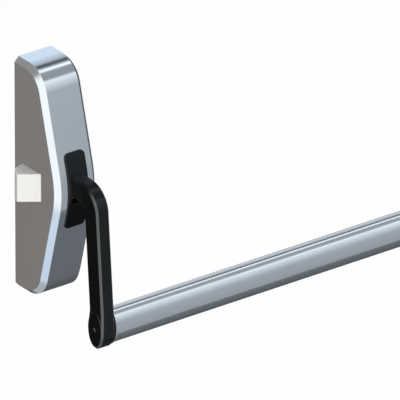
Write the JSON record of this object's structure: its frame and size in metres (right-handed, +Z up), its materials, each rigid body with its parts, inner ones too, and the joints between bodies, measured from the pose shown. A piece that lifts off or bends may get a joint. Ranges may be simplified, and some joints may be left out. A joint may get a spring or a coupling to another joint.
{
  "type": "panic bar",
  "caption": "Horizontal push bar on two cranked arms that turn in wall-mounted cases and draw in a spring latch bolt to open an escape door.",
  "frame": {"origin": "middle of the back of the latch case, where it bears on the door", "axes": "+X along the bar from the latch case to the hinge case, +Y into the door, +Z up"},
  "size_m": [0.9105, 0.1254, 0.2904],
  "materials": {
    "case_paint": "satin silver metallic paint",
    "zinc_steel": "zinc-plated pressed steel",
    "black_plate": "satin black",
    "black_arm": "satin black powder coat on a die casting",
    "black_plug": "moulded black nylon",
    "bolt_steel": "satin nickel-plated casting",
    "screw_steel": "plain steel",
    "spring_steel": "drawn spring wire",
    "nylon": "natural nylon",
    "bush_brass": "sintered bronze",
    "buffer_rubber": "moulded rubber",
    "bar_aluminium": "satin anodised extrusion"
  },
  "bodies": {
    "cases": {"latch_case_cover": "case_paint", "latch_case_chassis": "zinc_steel", "latch_face_plate": "black_plate", "latch_cover_screws": "screw_steel", "latch_guide": "nylon", "latch_spring": "spring_steel", "latch_spring_rod": "screw_steel", "rocker_pin": "screw_steel", "latch_arm_axle": "screw_steel", "latch_axle_spacers": "black_plug", "latch_return_spring": "spring_steel", "latch_stop_buffer": "buffer_rubber", "hinge_case_cover": "case_paint", "hinge_case_chassis": "zinc_steel", "hinge_face_plate": "black_plate", "hinge_cover_screws": "screw_steel", "hinge_arm_axle": "screw_steel", "hinge_axle_spacers": "black_plug", "hinge_return_spring": "spring_steel", "hinge_stop_buffer": "buffer_rubber"},
    "bar": {"push_bar": "bar_aluminium", "latch_arm": "black_arm", "latch_arm_bushes": "bush_brass", "latch_bar_plug": "black_plug", "latch_bar_screw": "screw_steel", "hinge_arm": "black_arm", "hinge_arm_bushes": "bush_brass", "hinge_bar_plug": "black_plug", "hinge_bar_screw": "screw_steel"},
    "rocker": {"rocker": "zinc_steel"},
    "bolt": {"latch_bolt": "bolt_steel", "latch_drive_pin": "screw_steel"}
  },
  "joints": [
    {"name": "bar_push", "type": "hinge", "parent": "cases", "child": "bar", "pos_m": [0, -0.056, 0], "axis": [1, 0, 0], "range_deg": [0, 18], "stiffness_Nm_per_rad": 1.8, "springref_deg": -68.75, "deforming": ["latch_return_spring", "hinge_return_spring"]},
    {"name": "rocker_turn", "type": "hinge", "parent": "cases", "child": "rocker", "pos_m": [-0.0036, -0.057, 0.0225], "axis": [0, 0, -1], "range_deg": [0, 39.3]},
    {"name": "bolt_slide", "type": "slide", "parent": "cases", "child": "bolt", "axis": [1, 0, 0], "range_m": [0, 0.0196], "deforming": ["latch_spring"]}
  ],
  "couplings": [
    {"joint": "rocker_turn", "follows": "bar_push", "ratio": 2.1793},
    {"joint": "bolt_slide", "follows": "bar_push", "m_per_rad": 0.06238}
  ]
}
